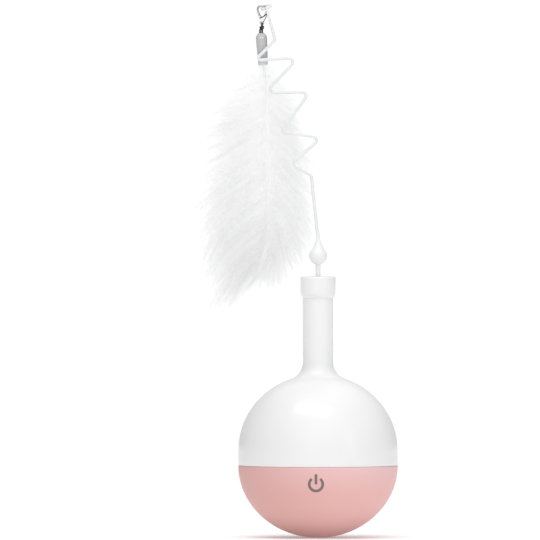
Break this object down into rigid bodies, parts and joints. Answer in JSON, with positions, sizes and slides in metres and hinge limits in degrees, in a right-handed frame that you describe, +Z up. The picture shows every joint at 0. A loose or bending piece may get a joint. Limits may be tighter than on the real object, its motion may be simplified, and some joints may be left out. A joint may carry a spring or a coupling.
{
  "type": "self-rocking cat teaser ball",
  "caption": "Self-righting weighted cat toy ball with a motor-driven eccentric inside, a tall neck, a plug-in zigzag wand and a feather on a small clasp.",
  "frame": {"origin": "middle of the flat foot under the bowl", "axes": "+Z up along the neck, the power mark faces -Y, the feather hangs towards -X"},
  "size_m": [0.102, 0.084, 0.281],
  "materials": {
    "pink_shell": "satin moulded ABS, dusty pink",
    "white_shell": "glossy moulded ABS, white",
    "silicone": "translucent silicone",
    "grey_print": "pad-printed grey ink",
    "white_wand": "white flexible plastic, satin",
    "clasp_metal": "nickel-plated zinc",
    "clasp_lever": "nickel-plated zinc, warm",
    "black_cord": "black woven cord",
    "grey_ferrule": "grey satin crimped metal",
    "feather_white": "white marabou down",
    "ballast": "cast, dark",
    "screw_steel": "zinc-plated",
    "black_foam": "foam tape",
    "cell_wrap": "pouch foil and tape",
    "grey_frame": "moulded ABS, grey",
    "motor_steel": "drawn nickel-plated steel",
    "shaft_steel": "ground steel",
    "white_gear": "acetal, natural white",
    "brass": "turned brass",
    "swing_steel": "stamped steel",
    "dark_steel": "blackened spring steel",
    "board_green": "solder-masked laminate",
    "chip_black": "moulded epoxy",
    "light_pipe": "clear diffusing acrylic",
    "copper": "copper foil",
    "lead_skin": "insulated wire, red and black",
    "lead_white": "insulated wire, white"
  },
  "bodies": {
    "housing": {"lower_bowl": "pink_shell", "upper_dome": "white_shell", "neck_cap": "white_shell", "wand_socket": "silicone", "power_mark": "grey_print", "ballast_weight": "ballast", "ballast_screws": "screw_steel", "battery_pad": "black_foam", "battery_cell": "cell_wrap", "chassis_plate": "grey_frame", "chassis_screws": "screw_steel", "gear_cover": "grey_frame", "cover_screws": "screw_steel", "motor_can": "motor_steel", "motor_endcap": "white_gear", "motor_screws": "screw_steel", "idler_axle": "shaft_steel", "lower_bush": "brass", "upper_bush": "brass", "circuit_board": "board_green", "board_parts": "chip_black", "board_screws": "screw_steel", "usb_socket": "motor_steel", "usb_tongue": "chip_black", "charge_light": "light_pipe", "touch_pad": "copper", "battery_leads": "lead_skin", "motor_leads": "lead_skin", "touch_lead": "lead_white"},
    "eccentric": {"output_gear": "white_gear", "output_shaft": "shaft_steel", "eccentric_weight": "swing_steel", "grub_screw": "dark_steel", "shaft_clip": "dark_steel"},
    "idler": {"idler_gear": "white_gear"},
    "rotor": {"motor_shaft": "shaft_steel", "motor_pinion": "brass"},
    "wand": {"wand_root": "white_wand", "wand_wire": "white_wand"},
    "clasp": {"clasp_hook": "clasp_metal", "clasp_pin": "clasp_metal"},
    "lever": {"clasp_lever": "clasp_lever"},
    "feather": {"cord_loop": "black_cord", "feather_ferrule": "grey_ferrule", "feather_quill": "feather_white", "feather_vane": "feather_white"}
  },
  "joints": [
    {"name": "eccentric_spin", "type": "hinge", "parent": "housing", "child": "eccentric", "pos_m": [0, 0, 0.04], "axis": [0, 0, 1], "continuous": true},
    {"name": "idler_spin", "type": "hinge", "parent": "housing", "child": "idler", "pos_m": [-0.018, 0, 0.036], "axis": [0, 0, 1], "continuous": true},
    {"name": "motor_spin", "type": "hinge", "parent": "housing", "child": "rotor", "pos_m": [-0.0108, 0.01247, 0.034], "axis": [0, 0, 1], "continuous": true},
    {"name": "wand_pull", "type": "slide", "parent": "housing", "child": "wand", "axis": [0, 0, 1], "range_m": [0, 0.018]},
    {"name": "clasp_swing", "type": "hinge", "parent": "wand", "child": "clasp", "pos_m": [-0.02942, 0.0036, 0.27832], "axis": [0, 1, 0], "range_deg": [-20, 20]},
    {"name": "lever_open", "type": "hinge", "parent": "clasp", "child": "lever", "pos_m": [-0.02847, 0.0036, 0.27372], "axis": [0, 1, 0], "range_deg": [-20, 0], "stiffness_Nm_per_rad": 0.002, "springref_deg": 5.73},
    {"name": "feather_swing", "type": "hinge", "parent": "clasp", "child": "feather", "pos_m": [-0.02947, 0.0036, 0.27092], "axis": [0, 1, 0], "range_deg": [-25, 25]}
  ],
  "couplings": [
    {"joint": "idler_spin", "follows": "eccentric_spin", "ratio": -4},
    {"joint": "motor_spin", "follows": "eccentric_spin", "ratio": 12}
  ]
}
